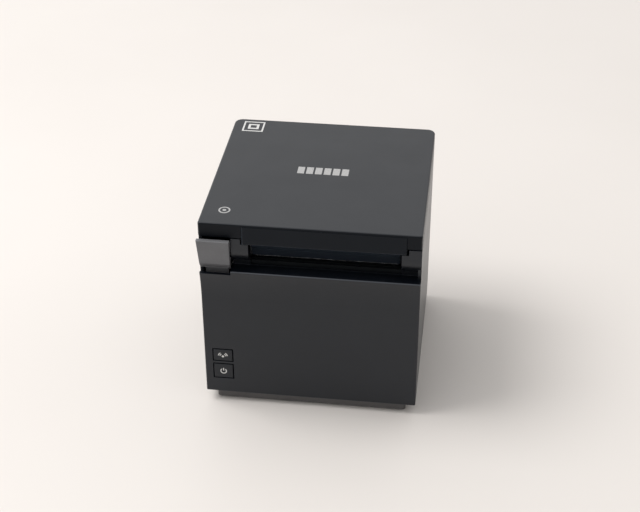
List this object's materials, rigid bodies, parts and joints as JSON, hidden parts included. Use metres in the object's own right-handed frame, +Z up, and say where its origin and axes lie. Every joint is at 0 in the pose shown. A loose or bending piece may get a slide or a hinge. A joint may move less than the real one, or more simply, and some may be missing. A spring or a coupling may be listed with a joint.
{
  "type": "receipt printer",
  "caption": "Cube-form desktop receipt printer for 80 mm paper: flat hinged lid, front exit slot under a visor, corner release lever, push buttons, paper well and feed and cutter gears inside.",
  "frame": {"origin": "centre of the body's square footprint, on the desk plane under the feet", "axes": "+Z up, -Y towards the user at the front with the paper slot, +X to the user's right"},
  "size_m": [0.1275, 0.1316, 0.127],
  "materials": {
    "case_black": "fine matte texture",
    "lip_black": "fine matte texture",
    "lever_grey": "fine matte texture",
    "button_black": "fine matte texture",
    "inner_black": "smooth",
    "foot_rubber": "matte",
    "platen_rubber": "ground matte",
    "steel": "zinc plated",
    "blade_steel": "ground",
    "spring_steel": "drawn wire",
    "screw_steel": "plated",
    "motor_can": "plated can",
    "gear_white": "moulded acetal",
    "bearing_bronze": "sintered bronze",
    "head_ceramic": "glazed",
    "head_aluminium": "extruded",
    "board_green": "solder mask",
    "chip_black": "moulded epoxy",
    "socket_metal": "nickel plated",
    "cable_white": "polyester film",
    "label_silver": "satin film"
  },
  "bodies": {
    "base": {"main_case": "case_black", "front_panel": "case_black", "base_plate": "inner_black", "rubber_feet": "foot_rubber", "roll_bucket": "inner_black", "socket_plate": "inner_black", "rating_plate": "label_silver", "hinge_pins": "steel", "mech_frame": "steel", "frame_screws": "screw_steel", "gear_studs": "steel", "feed_motor": "motor_can", "head_pin": "steel", "head_springs": "spring_steel", "head_cable": "cable_white", "paper_sensor": "chip_black", "cutter_motor": "motor_can", "cutter_guide": "inner_black", "lever_spring": "spring_steel", "switch_bodies": "chip_black", "button_board": "board_green", "main_board": "board_green", "board_screws": "screw_steel", "board_parts": "chip_black", "power_socket": "chip_black", "drawer_socket": "chip_black", "lan_socket": "socket_metal", "usb_socket": "socket_metal"},
    "cover": {"lid_shell": "case_black", "lid_lip": "lip_black", "lid_liner": "inner_black", "liner_screws": "screw_steel", "platen_holder": "inner_black", "platen_bearings": "bearing_bronze", "fixed_blade": "blade_steel"},
    "platen": {"platen_roller": "platen_rubber", "platen_shaft": "steel", "platen_gear": "gear_white"},
    "idler": {"idler_gear": "gear_white"},
    "reduction": {"reduction_gear": "gear_white"},
    "feed_rotor": {"feed_pinion": "gear_white", "feed_motor_shaft": "steel"},
    "head": {"thermal_head": "head_ceramic", "head_plate": "head_aluminium"},
    "blade": {"movable_blade": "blade_steel", "blade_racks": "gear_white"},
    "cutter_spindle": {"cutter_shaft": "steel", "cutter_pinions": "gear_white", "cutter_gear": "gear_white"},
    "cutter_rotor": {"cutter_motor_shaft": "steel", "cutter_motor_pinion": "gear_white"},
    "lock": {"cover_lever": "lever_grey", "lock_shaft": "steel", "lock_hooks": "steel"},
    "feed_key": {"feed_button": "button_black", "feed_switch_plunger": "cable_white"},
    "power_key": {"power_button": "button_black", "power_switch_plunger": "cable_white"}
  },
  "joints": [
    {"name": "cover_hinge", "type": "hinge", "parent": "base", "child": "cover", "pos_m": [0, 0.06, 0.118], "axis": [-1, 0, 0], "range_deg": [0, 95]},
    {"name": "platen_spin", "type": "hinge", "parent": "cover", "child": "platen", "pos_m": [0.0085, -0.042, 0.108], "axis": [1, 0, 0], "continuous": true},
    {"name": "idler_spin", "type": "hinge", "parent": "base", "child": "idler", "pos_m": [0.057, -0.042, 0.094], "axis": [1, 0, 0], "continuous": true},
    {"name": "reduction_spin", "type": "hinge", "parent": "base", "child": "reduction", "pos_m": [0.056, -0.04, 0.0741], "axis": [1, 0, 0], "continuous": true},
    {"name": "feed_motor_spin", "type": "hinge", "parent": "base", "child": "feed_rotor", "pos_m": [0.056, -0.041, 0.05963], "axis": [1, 0, 0], "continuous": true},
    {"name": "head_tilt", "type": "hinge", "parent": "base", "child": "head", "pos_m": [0.0085, -0.0312, 0.0979], "axis": [1, 0, 0], "range_deg": [0, 1.5], "stiffness_Nm_per_rad": 0.05, "springref_deg": -2.86, "deforming": ["head_springs"]},
    {"name": "blade_slide", "type": "slide", "parent": "base", "child": "blade", "axis": [0, 0, 1], "range_m": [0, 0.006]},
    {"name": "cutter_spin", "type": "hinge", "parent": "base", "child": "cutter_spindle", "pos_m": [0.0085, -0.046, 0.078], "axis": [1, 0, 0], "range_deg": [-86, 0]},
    {"name": "cutter_motor_spin", "type": "hinge", "parent": "base", "child": "cutter_rotor", "pos_m": [-0.0395, -0.044, 0.06668], "axis": [1, 0, 0], "range_deg": [0, 197]},
    {"name": "lever_press", "type": "hinge", "parent": "base", "child": "lock", "pos_m": [-0.0539, -0.047, 0.09], "axis": [1, 0, 0], "range_deg": [0, 12], "stiffness_Nm_per_rad": 0.01, "springref_deg": -17.19, "deforming": ["lever_spring"]},
    {"name": "feed_press", "type": "slide", "parent": "base", "child": "feed_key", "axis": [0, 1, 0], "range_m": [0, 0.0006]},
    {"name": "power_press", "type": "slide", "parent": "base", "child": "power_key", "axis": [0, 1, 0], "range_m": [0, 0.0006]}
  ],
  "couplings": [
    {"joint": "idler_spin", "follows": "platen_spin", "ratio": -2.5},
    {"joint": "reduction_spin", "follows": "platen_spin", "ratio": 2.0455},
    {"joint": "feed_motor_spin", "follows": "platen_spin", "ratio": -6.4286},
    {"joint": "cutter_spin", "follows": "blade_slide", "rad_per_m": -250},
    {"joint": "cutter_motor_spin", "follows": "blade_slide", "rad_per_m": 571.43}
  ]
}
